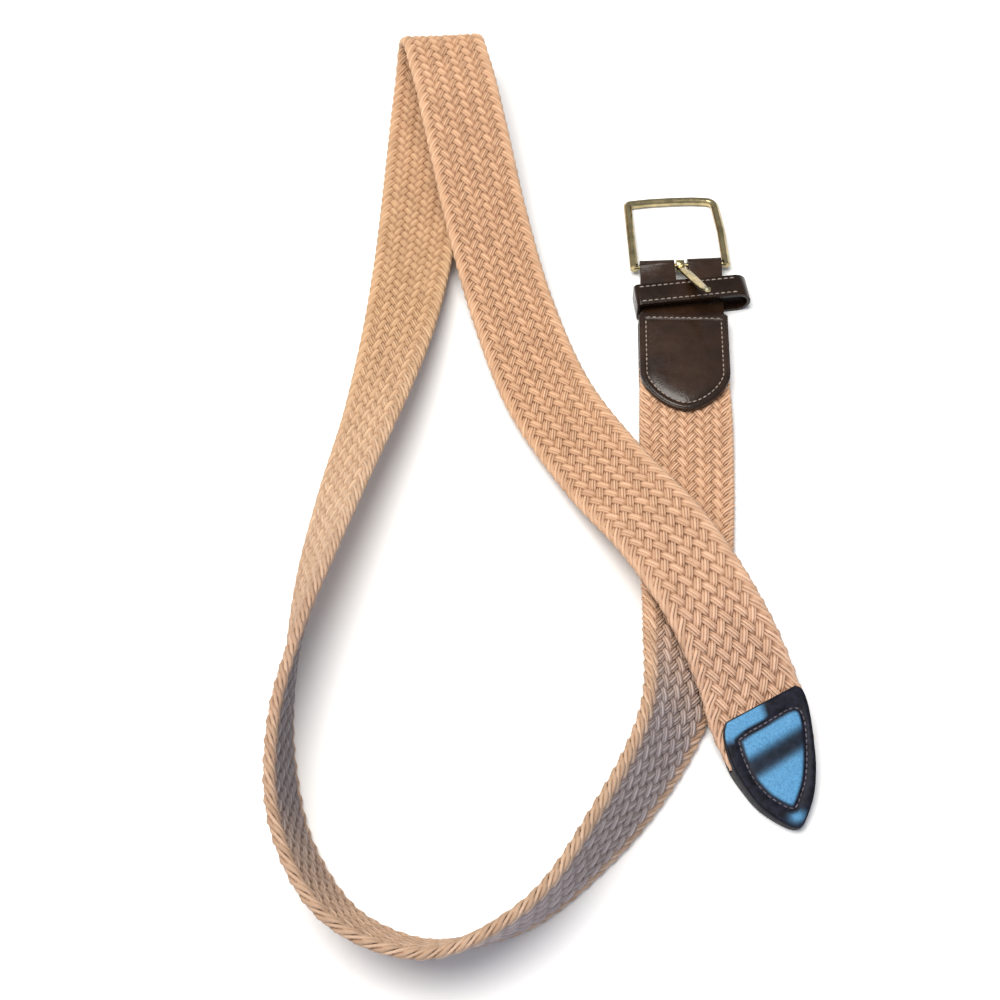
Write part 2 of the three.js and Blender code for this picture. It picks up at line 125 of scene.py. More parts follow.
# How far a strand's outer plies lie below its middle one, on the faces and on the edges
FACE_SINK, EDGE_SINK = 0.32, 0.55
# How far the drawn leather stands over the CAD faces
DOME_LIFT = 0.4
# Its rolled edge: how deep and how wide, and how deep the stitches' groove is
BEVEL_DEPTH, BEVEL_RUN, GROOVE_DEPTH = 1.0, 1.1, 0.3
# The patch and the tip: the groove's width, the padding's height and its run
PATCH_GROOVE, PATCH_PAD, PATCH_PAD_RUN = 0.6, 1.0, 3.0
TIP_GROOVE, TIP_PAD, TIP_PAD_RUN = 1.1, 0.5, 2.6
# The fold across the tip, dark where the painted reflection stops: its place along the tip, its slant and
# its width
FOLD_PLACE, FOLD_SLANT, FOLD_WIDTH = 0.6, 0.29, 3.9

# Stitch rows: pitch, length, radius and how far the thread stands up
PATCH_STITCH = (2.1, 1.45, 0.28, 0.14)
KEEPER_STITCH = (2.3, 1.65, 0.27, 0.12)
TIP_STITCH = (2.0, 1.5, 0.3, 0.12)
# Stitches from the patch's edge, its top row from its top, and the gap below that row
STITCH_INSET, TOP_ROW_INSET, TOP_ROW_GAP = 2.55, 1.7, 1.2
# The keeper's rows from its edges and from its left end
KEEPER_ROW_INSET, KEEPER_ROW_START = 1.4, 0.4

# Length of one stitch along the band, at shares of the band's length
PITCH = [
    [0.00, 4.2], [0.10, 4.3], [0.14, 5.6], [0.22, 6.0], [0.27, 5.2], [0.31, 6.2], [0.37, 6.4],
    [0.43, 5.6], [0.51, 5.2], [0.56, 4.2], [0.86, 4.4], [0.92, 5.5], [1.00, 5.8],
]

# The camera, at the photo's viewing angle
CAMERA_PITCH, CAMERA_DISTANCE, CAMERA_LENS = 58.0, 682.0, 68.04


def lay_points():
    """Middle line, across and roll angles, width and thickness at each row."""
    points = []
    for x, y, across, roll, width, thick, layers, edge, fold in LAY:
        w, t = width * BAND_WIDTH, thick * BAND_THICKNESS
        low = FLOOR_GAP + layers * (BAND_THICKNESS + LAYER_GAP) + edge * BAND_WIDTH + fold * FOLD_HEIGHT
        z = low + t / 2 + (w - t) / 2 * abs(math.sin(math.radians(roll)))
        points.append([x * LAY_WIDTH, y * LAY_LENGTH, z, across, roll, w, t])
    return np.array(points)


class Curve:
    """A smooth curve of cubic pieces through the rows."""

    def __init__(self, points):
        self.points = points
        self.steps = np.linalg.norm(np.diff(points[:, :3], axis=0), axis=1)
        self.knots = np.concatenate([[0], np.cumsum(self.steps)])
        chords = np.diff(points, axis=0) / self.steps[:, None]
        self.slopes = np.empty_like(points)
        self.slopes[0], self.slopes[-1] = chords[0], chords[-1]
        before, after = self.steps[:-1, None], self.steps[1:, None]
        self.slopes[1:-1] = (chords[:-1] * after + chords[1:] * before) / (before + after)
        self.length = self.knots[-1]

    def at(self, s):
        i = np.clip(np.searchsorted(self.knots, s, side="right") - 1, 0, len(self.steps) - 1)
        h = self.steps[i][:, None]
        t = (s - self.knots[i])[:, None] / h
        p, q, m, n = self.points[i], self.points[i + 1], self.slopes[i], self.slopes[i + 1]
        value = ((2 * t**3 - 3 * t**2 + 1) * p + (t**3 - 2 * t**2 + t) * h * m
                 + (3 * t**2 - 2 * t**3) * q + (t**3 - t**2) * h * n)
        slope = ((6 * t * t - 6 * t) / h * (p - q) + (3 * t * t - 4 * t + 1) * m
                 + (3 * t * t - 2 * t) * n)
        return value, slope


def attach(obj, name, values):
    """One number for each vertex, for a material to read."""
    layer = obj.data.attributes.new(name, "FLOAT", "POINT")
    layer.data.foreach_set("value", np.asarray(values, np.float32))


def unit(v):
    return v / np.linalg.norm(v, axis=-1, keepdims=True)


def band_frames(curve, s):
    """Middle, travel, side and face directions, width and thickness at distances s."""
    value, slope = curve.at(np.atleast_1d(np.asarray(s, float)))
    travel = unit(slope[:, :3])
    across, roll = np.radians(value[:, 3]), np.radians(value[:, 4])
    side = np.stack([np.cos(roll) * np.cos(across), np.cos(roll) * np.sin(across), np.sin(roll)], 1)
    side = unit(side - (side * travel).sum(1, keepdims=True) * travel)
    return value[:, :3], travel, side, np.cross(side, travel), value[:, 5], value[:, 6]


def low_corner(curve, step=4.5):
    """The lowest corner of the CAD band's own box before it was centred."""
    count = round(curve.length / step)
    middle, _, side, face, width, thick = band_frames(curve, curve.length * np.arange(count + 1) / count)
    corners = []
    for end in (1, -1):
        for angle in np.radians([-90, -45, 0, 45, 90]):
            out = end * (width / 2 - thick / 2 + thick / 2 * np.cos(angle))
            up = end * thick / 2 * np.sin(angle)
            corners.append(middle + out[:, None] * side + up[:, None] * face)
    return np.concatenate(corners).min(0)


band = Curve(lay_points())
SHIFT = np.array(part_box("woven_band")[0]) / MM - low_corner(band)


def mesh_object(name, vertices, faces):
    """A mesh piece from points in millimetres in the row frame."""
    mesh = bpy.data.meshes.new(name)
    mesh.from_pydata((np.asarray(vertices) * MM).tolist(), [], faces)
    mesh.update()
    mesh.polygons.foreach_set("use_smooth", [True] * len(mesh.polygons))
    obj = bpy.data.objects.new(name, mesh)
    bpy.context.collection.objects.link(obj)
    return obj


def tube(points, normals, wide, high, sides=PLY_SIDES):
    """Vertices and faces of a closed tube along points, wide across, high along the normals."""
    count = len(points)
    travel = unit(np.gradient(points, axis=0))
    across = unit(np.cross(travel, normals))
    up = np.cross(across, travel)
    angles = 2 * np.pi * np.arange(sides) / sides
    ring = (points[:, None] + np.cos(angles)[None, :, None] * across[:, None] * wide[:, None, None]
            + np.sin(angles)[None, :, None] * up[:, None] * high[:, None, None])
    faces = []
    for i in range(count - 1):
        a, b = i * sides, (i + 1) * sides
        faces += [(a + j, b + j, b + (j + 1) % sides, a + (j + 1) % sides) for j in range(sides)]
    faces.append(tuple(range(sides)))
    faces.append(tuple(range((count - 1) * sides, count * sides))[::-1])
    return ring.reshape(-1, 3), faces


def join(parts):
    """Several (vertices, faces) as one."""
    vertices, faces, start = [], [], 0
    for v, f in parts:
        vertices.append(v)
        faces += [tuple(i + start for i in face) for face in f]
        start += len(v)
    return np.concatenate(vertices), faces


# Materials

def material(name):
    made = bpy.data.materials.new(name)
    made.use_nodes = True
    tree = made.node_tree
    return made, tree, tree.nodes["Principled BSDF"]


def add(tree, kind, **sockets):
    node = tree.nodes.new(kind)
    for key, value in sockets.items():
        if key in node.inputs:
            node.inputs[key].default_value = value
        else:
            setattr(node, key, value)
    return node


def noise(tree, scale, detail=3.0, where=None):
    node = add(tree, "ShaderNodeTexNoise", Scale=scale, Detail=detail)
    tree.links.new(where or add(tree, "ShaderNodeTexCoord").outputs["Object"], node.inputs["Vector"])
    return node.outputs["Fac"]


def ramp(tree, value, stops):
    node = tree.nodes.new("ShaderNodeValToRGB")
    while len(node.color_ramp.elements) < len(stops):
        node.color_ramp.elements.new(0.5)
    for element, (place, colour) in zip(node.color_ramp.elements, stops):
        element.position, element.color = place, (*colour, 1)
    tree.links.new(value, node.inputs["Fac"])
    return node.outputs["Color"]


def bump(tree, shader, value, distance, strength=1.0, under=None):
    node = add(tree, "ShaderNodeBump", Distance=distance, Strength=strength)
    tree.links.new(value, node.inputs["Height"])
    if under:
        tree.links.new(under, node.inputs["Normal"])
    tree.links.new(node.outputs["Normal"], shader.inputs["Normal"])
    return node.outputs["Normal"]


def mix(tree, a, b, amount, mode="MIX"):
    node = add(tree, "ShaderNodeMix", data_type="RGBA", blend_type=mode)
    for socket, value in ((node.inputs[6], a), (node.inputs[7], b), (node.inputs[0], amount)):
        if isinstance(value, bpy.types.NodeSocket):
            tree.links.new(value, socket)
        else:
            socket.default_value = value if isinstance(value, float) else (*value, 1)
    return node.outputs[2]


def attribute(tree, name):
    return add(tree, "ShaderNodeAttribute", attribute_name=name).outputs["Fac"]


def shade_over_stretch(tree, colour, shade_tint, along, stretch):
    """The colour with a painted shade tint over one stretch of the band, fading at both ends."""
    begins, full, fades, ends = stretch
    none, whole = (0, 0, 0), (1, 1, 1)
    share = ramp(tree, along, [(begins, none), (full, whole), (fades, whole), (ends, none)])
    return mix(tree, colour, shade_tint, share)


def yarn_material():
    """Warm cotton with twisted fibres. Painted shade: a stretch of each face is greyer, its edges are not;
    the outer plies and the places where strands dive are darker.
    """
    made, tree, shader = material("cotton_yarn")
    along = attribute(tree, "along")
    # Colour along the band: the tan drifts a little, and from 0.2 to 0.4 of its length it is darker, painted
    # shade where that stretch lies in shade.
    along_colour_and_shade = ramp(tree, along, [
        (0.0, (0.74, 0.47, 0.30)), (0.12, (0.72, 0.47, 0.31)), (0.2, (0.56, 0.39, 0.27)),
        (0.4, (0.55, 0.37, 0.26)), (0.45, (0.64, 0.45, 0.31)), (0.54, (0.66, 0.43, 0.25)),
        (0.7, (0.72, 0.46, 0.29)), (0.85, (0.71, 0.45, 0.28)), (1.0, (0.69, 0.46, 0.33)),
    ])
    # Painted shade: a grey-lilac on one stretch of the front face and a dark grey on one stretch of the back
    # face, where these faces lie in shade; the edges are left out of it.
    front_painted_shade = shade_over_stretch(tree, along_colour_and_shade, (0.40, 0.34, 0.335), along, (0.12, 0.17, 0.25, 0.30))
    back = shade_over_stretch(tree, along_colour_and_shade, (0.27, 0.24, 0.25), along, (0.30, 0.345, 0.39, 0.42))
    faces = mix(tree, front_painted_shade, back, attribute(tree, "back"))
    colour = mix(tree, faces, along_colour_and_shade, attribute(tree, "rim"))
    cloudy = ramp(tree, noise(tree, 160.0), [(0.3, (0.86, 0.84, 0.82)), (0.7, (1.0, 1.0, 1.0))])
    colour = mix(tree, colour, cloudy, 1.0, "MULTIPLY")
    # Random tone for each ply, plus painted shade that darkens the outer plies of each strand.
    tone_and_shade = ramp(tree, attribute(tree, "tone_and_shade"), [(0.0, (0.72, 0.67, 0.63)), (1.0, (1.0, 1.0, 1.0))])
    colour = mix(tree, colour, tone_and_shade, 1.0, "MULTIPLY")
    # Painted shade: darker where a strand dives from one face to the other, in the crevices.
    crease_shade = ramp(tree, attribute(tree, "openness"), [
        (0.0, (0.22, 0.15, 0.12)), (0.6, (0.72, 0.65, 0.60)), (0.95, (1.0, 1.0, 1.0)),
    ])
    colour = mix(tree, colour, crease_shade, 1.0, "MULTIPLY")
    tree.links.new(colour, shader.inputs["Base Color"])
    shader.inputs["Roughness"].default_value = 0.7
    shader.inputs["Sheen Weight"].default_value = 0.06
    shader.inputs["Sheen Roughness"].default_value = 0.5
    shader.inputs["Specular IOR Level"].default_value = 0.3
    bump(tree, shader, noise(tree, 2600.0, 2.0), 0.0002, 0.5)
    return made


def leather_material(name, dark, light, gloss=0.22, shine=0.38):
    """Polished leather with a fine grain: gloss is its lowest roughness, shine its reflection."""
    made, tree, shader = material(name)
    colour = ramp(tree, noise(tree, 70.0, 5.0), [(0.3, dark), (0.75, light)])
    tree.links.new(colour, shader.inputs["Base Color"])
    rough = ramp(tree, noise(tree, 400.0, 3.0), [(0.3, (gloss,) * 3), (0.8, (gloss + 0.15,) * 3)])
    tree.links.new(rough, shader.inputs["Roughness"])
    shader.inputs["Specular IOR Level"].default_value = shine
    grain = add(tree, "ShaderNodeTexVoronoi", Scale=1500.0)
    tree.links.new(add(tree, "ShaderNodeTexCoord").outputs["Object"], grain.inputs["Vector"])
    first = bump(tree, shader, grain.outputs["Distance"], 0.00008, 0.5)
    bump(tree, shader, noise(tree, 120.0, 4.0), 0.0004, 0.35, first)
    return made


def brass_material():
    """Brass with darker, duller places."""
    made, tree, shader = material("aged_brass")
    colour = ramp(tree, noise(tree, 240.0, 5.0), [(0.3, (0.31, 0.26, 0.14)), (0.75, (0.62, 0.50, 0.27))])
    tree.links.new(colour, shader.inputs["Base Color"])
    shader.inputs["Metallic"].default_value = 1.0
    rough = ramp(tree, noise(tree, 500.0, 4.0), [(0.3, (0.17, 0.17, 0.17)), (0.8, (0.32, 0.32, 0.32))])
    tree.links.new(rough, shader.inputs["Roughness"])
    bump(tree, shader, noise(tree, 500.0, 4.0), 0.00002, 0.15)
    return made


def thread_material(name, dark, light):
    """Matte twisted thread."""
    made, tree, shader = material(name)
    colour = ramp(tree, noise(tree, 900.0, 3.0), [(0.3, dark), (0.7, light)])
    tree.links.new(colour, shader.inputs["Base Color"])
    shader.inputs["Roughness"].default_value = 0.6
    bump(tree, shader, noise(tree, 4000.0, 2.0), 0.0001, 0.5)
    return made


# The plait

def stitch_phase():
    """Stitches counted along the band, at many distances."""
    s = np.linspace(0, band.length, 2000)
    shares, pitches = zip(*PITCH)
    pitch = np.interp(s / band.length, shares, pitches)
    gaps = np.diff(s) * (1 / pitch[1:] + 1 / pitch[:-1]) / 2
    return s, np.concatenate([[0], np.cumsum(gaps)]), pitch


def strand_place(turn):
    """Where a strand is at a turn of its zigzag, as shares of the band.

    A strand comes up from the back round a rope-like edge, passes over two and under two
    to the far edge, and goes back there on the other face. Returns its place across, its
    height, the lean of its own normal and the side that leans out, whether that normal
    points out of the band, how near the edge it is, and how open to the light.
    """
    half = STRANDS / 2
    rightward = turn < half
    column = np.where(rightward, 2 * turn - 1, STRANDS - 1 - 2 * (turn - half))
    from_left, from_right = column + 1, STRANDS - 1 - column
    wave = np.tanh(WAVE_STEEPNESS * np.cos(np.pi * (column - 0.5) / 2)) / math.tanh(WAVE_STEEPNESS)
    near = np.minimum(from_left, from_right)
    on_edge = near < EDGE_COLUMNS
    angle = np.pi / 2 * np.clip(near / EDGE_COLUMNS, 0, 1)
    faces_up = np.where(from_left < from_right, 1, -1)
    crown = np.where(on_edge, faces_up, wave)
    height = np.where(on_edge, faces_up * np.sin(angle), wave) * np.where(rightward, 1, -1)
    inset = np.where(on_edge, EDGE_COLUMNS * (1 - np.cos(angle)), near)
    place = np.where(from_left < from_right, inset, STRANDS - inset)
    out = np.arctan2(EDGE_ROUND * np.cos(angle), np.sin(angle))
    up = np.where(on_edge, height > 0, rightward)
    lean = np.where(on_edge, np.where(up, out, np.pi - out), np.where(up, 0, np.pi))
    lean = lean + np.where(on_edge & (faces_up < 0), np.pi, 0)
    rim = np.clip(1 - near / RIM_COLUMNS, 0, 1)
    openness = np.where(on_edge, 1.0, np.abs(wave))
    return place / STRANDS * 2 - 1, height, lean, -faces_up, crown, rim, openness


def plait():
    """The strands of the band, each of three plies side by side."""
    distances, phases, pitches = stitch_phase()
    count = int(phases[-1] * SAMPLES_PER_STITCH)
    phase = np.arange(count + 1) / SAMPLES_PER_STITCH
    s = np.interp(phase, phases, distances)
    pitch = np.interp(s, distances, pitches)
    middle, _, side, face, width, thick = band_frames(band, s)
    middle = middle + SHIFT
    scale = thick / BAND_THICKNESS
    column_width = (width - 2 * PLY_HEIGHT * scale) / STRANDS
    flat_spacing = pitch / np.sqrt(1 + (pitch / (2 * column_width)) ** 2)
    made = []
    rng = np.random.default_rng(5)
    for first in range(0, STRANDS, STRANDS_PER_PIECE):
        parts, tones_and_shade, opens, rims, backs = [], [], [], [], []
        for k in range(first, first + STRANDS_PER_PIECE):
            place, height, lean, side_of, crown, rim, openness = strand_place((phase - k) % STRANDS)
            spacing = flat_spacing + (EDGE_FULLNESS * pitch - flat_spacing) * rim
            wide = spacing / PLIES / 2 * PLY_SPREAD
            high = PLY_HEIGHT * scale * (1 + RIM_SWELL * rim)
            sink = (FACE_SINK + (EDGE_SINK - FACE_SINK) * rim) * crown
            rise = thick / 2 - high
            half = width / 2 - high
            spine = middle + (place * half)[:, None] * side + (height * rise)[:, None] * face
            normal = np.cos(lean)[:, None] * face + (np.sin(lean) * side_of)[:, None] * side
            travel = unit(np.gradient(spine, axis=0))
            across = unit(np.cross(travel, normal))
            for ply in range(PLIES):
                from_middle = ply - (PLIES - 1) / 2
                offset = from_middle * spacing / PLIES
                sunk = abs(from_middle) * sink
                strand = spine + offset[:, None] * across - sunk[:, None] * normal
                parts.append(tube(strand, normal, wide, high))
                # Random tone, plus painted shade: the outer plies come out darker than the middle one.
                tone_and_shade = 0.5 * rng.random() + 0.5 * (1 - abs(from_middle))
                tones_and_shade.append(np.full(len(parts[-1][0]), tone_and_shade))
                opens.append(np.repeat(openness, PLY_SIDES))
                rims.append(np.repeat(np.clip(rim * 2 - 0.4, 0, 1), PLY_SIDES))
                backs.append(np.repeat(np.clip(0.5 - height, 0, 1), PLY_SIDES))
        vertices, faces = join(parts)
        obj = mesh_object(f"strands_{first // STRANDS_PER_PIECE + 1}", vertices, faces)
        attach(obj, "along", np.tile(np.repeat(s / band.length, PLY_SIDES), STRANDS_PER_PIECE * PLIES))
        for name, values in (("tone_and_shade", tones_and_shade), ("openness", opens), ("rim", rims), ("back", backs)):
            attach(obj, name, np.concatenate(values))
        made.append(obj)
    return made


# Places of the two ends: local x across, y back along the band, z out of the top face

def end_place(s, face_up, ahead=0.0):
    middle, travel, side, _, _, _ = band_frames(band, s)
    x = side[0] * (-1 if face_up else 1)
    y = -travel[0]
    z = np.cross(x, y)
    origin = middle[0] + SHIFT + ahead * y
    return np.array([x, y, z]), origin


BUCKLE_AXES, BUCKLE_ORIGIN = end_place(0.0, True, BAR_TO_BAND)
TIP_AXES, TIP_ORIGIN = end_place(band.length, False)


def placed(points, axes, origin):
    return np.asarray(points) @ axes + origin


def bezier(a, b, c, d, count):
    t = np.linspace(0, 1, count)[:, None]
    a, b, c, d = (np.array(p, float) for p in (a, b, c, d))
    return (1 - t) ** 3 * a + 3 * (1 - t) ** 2 * t * b + 3 * (1 - t) * t**2 * c + t**3 * d


def patch_outline():
    """The patch's outline, from its left top corner round the end to the right one."""
    half, start = PATCH_WIDTH / 2, -BAR_TO_BAND
    shoulder, end = start - PATCH_SHOULDER, start - PATCH_LENGTH
    pull = 0.6 * shoulder + 0.4 * end
    curve = bezier((half, shoulder), (half, pull), (half * 0.46, end), (0, end), 24)
    right = np.concatenate([[(half, start)], curve])
    return np.concatenate([right * [-1, 1], right[-2::-1]])


def tip_points(table):
    """Points of a tip table, in millimetres in the tip's own frame."""
    across, down = np.array(table).T
    return np.stack([across * TIP_WIDTH / 2, TIP_GRIP - down * TIP_LENGTH], 1)


def smooth(points, parts=6):
    """A smooth curve through points (Catmull-Rom)."""
    padded = np.concatenate([points[:1], points, points[-1:]])
    t = np.arange(parts)[:, None] / parts
    pieces = []
    for i in range(len(points) - 1):
        a, b, c, d = padded[i:i + 4]
        slope, next_slope = (c - a) / 2, (d - b) / 2
        pieces.append((2 * t**3 - 3 * t**2 + 1) * b + (t**3 - 2 * t**2 + t) * slope
                      + (3 * t**2 - 2 * t**3) * c + (t**3 - t**2) * next_slope)
    return np.concatenate(pieces + [points[-1:]])


def closed(line):
    return np.concatenate([line, line[:1]])


def distance_to(points, line):
    """Shortest distance from each point to a polyline."""
    a, b = line[:-1], line[1:]
    d = b - a
    t = np.clip(((points[:, None] - a) * d).sum(2) / np.maximum((d * d).sum(1), 1e-9), 0, 1)
    return np.linalg.norm(points[:, None] - (a + t[..., None] * d), axis=2).min(1)


def dome(outline, height, rings=34):
    """A skin over an outline, raised by height(distance to its edge, points)."""
    loop = resample(closed(outline), 0.6)[:-1]
    middle = (outline.min(0) + outline.max(0)) / 2
    share = 1 - np.linspace(0, 1, rings)[:-1] ** 1.6
    grid = (middle + share[:, None, None] * (loop - middle)).reshape(-1, 2)
    grid = np.concatenate([grid, [middle]])
    vertices = np.column_stack([grid, height(distance_to(grid, closed(loop)), grid)])
    count, centre = len(loop), len(grid) - 1
    faces = []
    for i in range(rings - 2):
        for j in range(count):
            k = (j + 1) % count
            faces.append((i * count + j, i * count + k, (i + 1) * count + k, (i + 1) * count + j))
    start = (rings - 2) * count
    faces += [(start + j, start + (j + 1) % count, centre) for j in range(count)]
    return vertices, faces


def stitch_row(line, pitch, length, radius, lift):
    """Threads laid on a line of (x, y, z) points: each dips into the leather at both ends."""
    line = np.asarray(line, float)
    steps = np.linalg.norm(np.diff(line, axis=0), axis=1)
    knots = np.concatenate([[0], np.cumsum(steps)])
    count = max(int(knots[-1] / pitch), 1)
    parts = []
    bend = np.array([-0.9, 0.35, 0.8, 1.0, 0.8, 0.35, -0.9])
    for i in range(count):
        centre = (i + 0.5) * knots[-1] / count
        s = centre + np.linspace(-0.5, 0.5, len(bend)) * length
        points = np.stack([np.interp(s, knots, line[:, c]) for c in range(3)], 1)
        points[:, 2] += bend * lift
        normals = np.tile([0.0, 0.0, 1.0], (len(points), 1))
        thick = radius * np.array([0.6, 0.9, 1, 1, 1, 0.9, 0.6])
        parts.append(tube(points, normals, thick, thick, 6))
    return join(parts)


def resample(line, step):
    """The same line with points at even distances."""
    knots = np.concatenate([[0], np.cumsum(np.linalg.norm(np.diff(line, axis=0), axis=1))])
    s = np.linspace(0, knots[-1], int(knots[-1] / step) + 1)
    return np.stack([np.interp(s, knots, line[:, c]) for c in range(line.shape[1])], 1)


def inset_line(outline, inset):
    """The outline moved inwards; the part beyond the first and last points is left off."""
    line = resample(outline, 0.5)
    travel = unit(np.gradient(line, axis=0))
    return line + np.stack([-travel[:, 1], travel[:, 0]], 1) * inset


def rolled_edge(edge):
    """How far the leather falls towards its edge."""
    return -BEVEL_DEPTH * np.clip(1 - edge / BEVEL_RUN, 0, 1) ** 2


def patch_height(edge, points):
    """Bevelled edge, a stitch groove and a padded middle."""
    inside = np.clip(edge - STITCH_INSET - PATCH_GROOVE, 0, None)
    groove = -GROOVE_DEPTH * np.exp(-(((edge - STITCH_INSET) / PATCH_GROOVE) ** 2))
    pad = PATCH_PAD * (1 - np.exp(-inside / PATCH_PAD_RUN))
    return PATCH_HALF + DOME_LIFT + rolled_edge(edge) + groove + pad


def tip_top(y):
    """Height of the tip's top face: level over the band, then down to its lifted point."""
    fall = np.clip(-y / (TIP_LENGTH - TIP_GRIP), 0, 1)
    return PATCH_HALF + (LEATHER + TIP_RISE - PATCH_HALF) * fall


def inside_seam(points):
    """Distance inside the tip's stitched seam, negative outside it."""
    seam = closed(smooth(closed(tip_points(TIP_SEAM))))
    a, b = seam[:-1], seam[1:]
    x, y = points[:, :1], points[:, 1:2]
    run = np.where(a[:, 1] == b[:, 1], 1e-9, b[:, 1] - a[:, 1])
    crosses = ((a[:, 1] > y) != (b[:, 1] > y)) & (x < a[:, 0] + (y - a[:, 1]) * (b[:, 0] - a[:, 0]) / run)
    return np.where(crosses.sum(1) % 2 == 1, 1, -1) * distance_to(points, seam)


def tip_fold(points):
    """Nearness to the fold that crosses the tip's panel, left dark by a gap in the painted reflection."""
    return np.exp(-(((points[:, 1] - FOLD_PLACE - FOLD_SLANT * points[:, 0]) / FOLD_WIDTH) ** 4))


def tip_height(edge, points):
    """Bevelled edge, a seam groove, a padded panel and a fold across it."""
    depth = inside_seam(points)
    groove = -GROOVE_DEPTH * np.exp(-((depth / TIP_GROOVE) ** 2))
    pad = TIP_PAD * (1 - np.exp(-np.clip(depth - 0.5, 0, None) / TIP_PAD_RUN)) * (1 - 0.9 * tip_fold(points))
    return tip_top(points[:, 1]) + DOME_LIFT + rolled_edge(edge) + groove + pad


def leather_pieces():
    vertices, faces = dome(patch_outline(), patch_height)
    patch = mesh_object("patch_pad", placed(vertices, BUCKLE_AXES, BUCKLE_ORIGIN), faces)
    vertices, faces = dome(smooth(tip_points(TIP_OUTLINE), 3), tip_height)
    tip = mesh_object("tip_panel", placed(vertices, TIP_AXES, TIP_ORIGIN), faces)
    # The share of painted blue reflection on the tip's panel
    attach(tip, "painted_reflection", tip_painted_reflection(vertices[:, :2]))
    return patch, tip


def tip_painted_reflection(points):
    """Share of painted blue reflection: the panel but for its fold, half of the mouth's margin, and the
    point.
    """
    x, y = points[:, 0], points[:, 1]
    painted_reflection = np.clip((inside_seam(points) - 0.9) / 0.8, 0, 1) * (1 - 0.97 * tip_fold(points))
    outside = np.clip((-inside_seam(points) - 1.2) / 0.6, 0, 1)
    margin = outside * np.clip((2.5 - x) / 2.5, 0, 1) * np.clip((y - 7.5) / 2.5, 0, 1)
    nose = outside * np.exp(-(((x - 0.6) / 2.4) ** 2) - (((y + 20.6) / 1.7) ** 2))
    return np.clip(painted_reflection + margin + nose, 0, 1)


def stitch_pieces():
    """Stitch rows round the patch, along the keeper's edges and round the tip's panel."""
    line = inset_line(patch_outline(), STITCH_INSET)
    level = PATCH_HALF + DOME_LIFT - 0.1
    top = -BAR_TO_BAND - TOP_ROW_INSET
    line = line[line[:, 1] < top - TOP_ROW_GAP]
    half = PATCH_WIDTH / 2 - STITCH_INSET
    round_line = np.column_stack([line, np.full(len(line), level)])
    top_line = [[-half, top, level], [half, top, level]]
    rows = [stitch_row(line, *PATCH_STITCH) for line in (round_line, top_line)]
    vertices, faces = join(rows)
    patch = mesh_object("patch_stitches", placed(vertices, BUCKLE_AXES, BUCKLE_ORIGIN), faces)

    turn = math.radians(KEEPER_SKEW)
    c, s = math.cos(turn), math.sin(turn)
    spin = np.array([[c, s, 0], [-s, c, 0], [0, 0, 1]])
    keeper_top = KEEPER_HEIGHT + 2 * KEEPER_LEATHER - BUCKLE_ORIGIN[2] + SHIFT[2]
    left = -KEEPER_WIDTH / 2 + KEEPER_ROW_START
    right = KEEPER_WIDTH / 2 - KEEPER_HEIGHT / 2
    row = KEEPER_STRIP / 2 - KEEPER_ROW_INSET
    rows = [stitch_row([[left, y, 0.02], [right, y, 0.02]], *KEEPER_STITCH) for y in (row, -row)]
    vertices, faces = join(rows)
    vertices = vertices @ spin + [KEEPER_SHIFT, -KEEPER_FROM_BAR, keeper_top]
    keeper = mesh_object("keeper_stitches", placed(vertices, BUCKLE_AXES, BUCKLE_ORIGIN), faces)

    seam = smooth(closed(tip_points(TIP_SEAM)))
    level = tip_top(seam[:, 1]) + DOME_LIFT - 0.15
    vertices, faces = stitch_row(np.column_stack([seam, level]), *TIP_STITCH)
    tip = mesh_object("tip_stitches", placed(vertices, TIP_AXES, TIP_ORIGIN), faces)
    return patch, keeper, tip


def tip_material():
    """Near-black navy border, and a painted speckled blue reflection where its share says."""
    made, tree, shader = material("tip_leather_painted_reflection")
    # Painted reflection: a speckled blue for the glare of a blue light on the dark leather
    reflection_blue = ramp(tree, noise(tree, 1500.0, 5.0), [(0.3, (0.065, 0.19, 0.34)), (0.65, (0.10, 0.29, 0.50))])
    dark = ramp(tree, noise(tree, 500.0, 4.0), [(0.35, (0.003, 0.003, 0.006)), (0.7, (0.012, 0.013, 0.024))])
    colour = mix(tree, dark, reflection_blue, attribute(tree, "painted_reflection"))
    tree.links.new(colour, shader.inputs["Base Color"])
    shader.inputs["Roughness"].default_value = 0.5
    shader.inputs["Specular IOR Level"].default_value = 0.12
    first = bump(tree, shader, noise(tree, 1400.0, 3.0), 0.0001, 0.5)
    bump(tree, shader, noise(tree, 250.0, 3.0), 0.0003, 0.35, first)
    return made


def rounded(obj, width, segments=3):
    """Soft edges on a CAD node, by modifiers only."""
    weld = obj.modifiers.new("weld", "WELD")
    weld.merge_threshold = 1e-6
    bevel = obj.modifiers.new("bevel", "BEVEL")
    bevel.width = width * MM
    bevel.segments = segments
    bevel.limit_method = "ANGLE"
    bevel.angle_limit = math.radians(35)
    bevel.harden_normals = True
    obj.data.polygons.foreach_set("use_smooth", [True] * len(obj.data.polygons))


def paint(obj, made):
    obj.data.materials.clear()
    obj.data.materials.append(made)


yarn = yarn_material()
for strand in plait():
    paint(strand, yarn)
    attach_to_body(strand, "belt")
    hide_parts("woven_band")
paint(nodes["woven_band"], yarn)

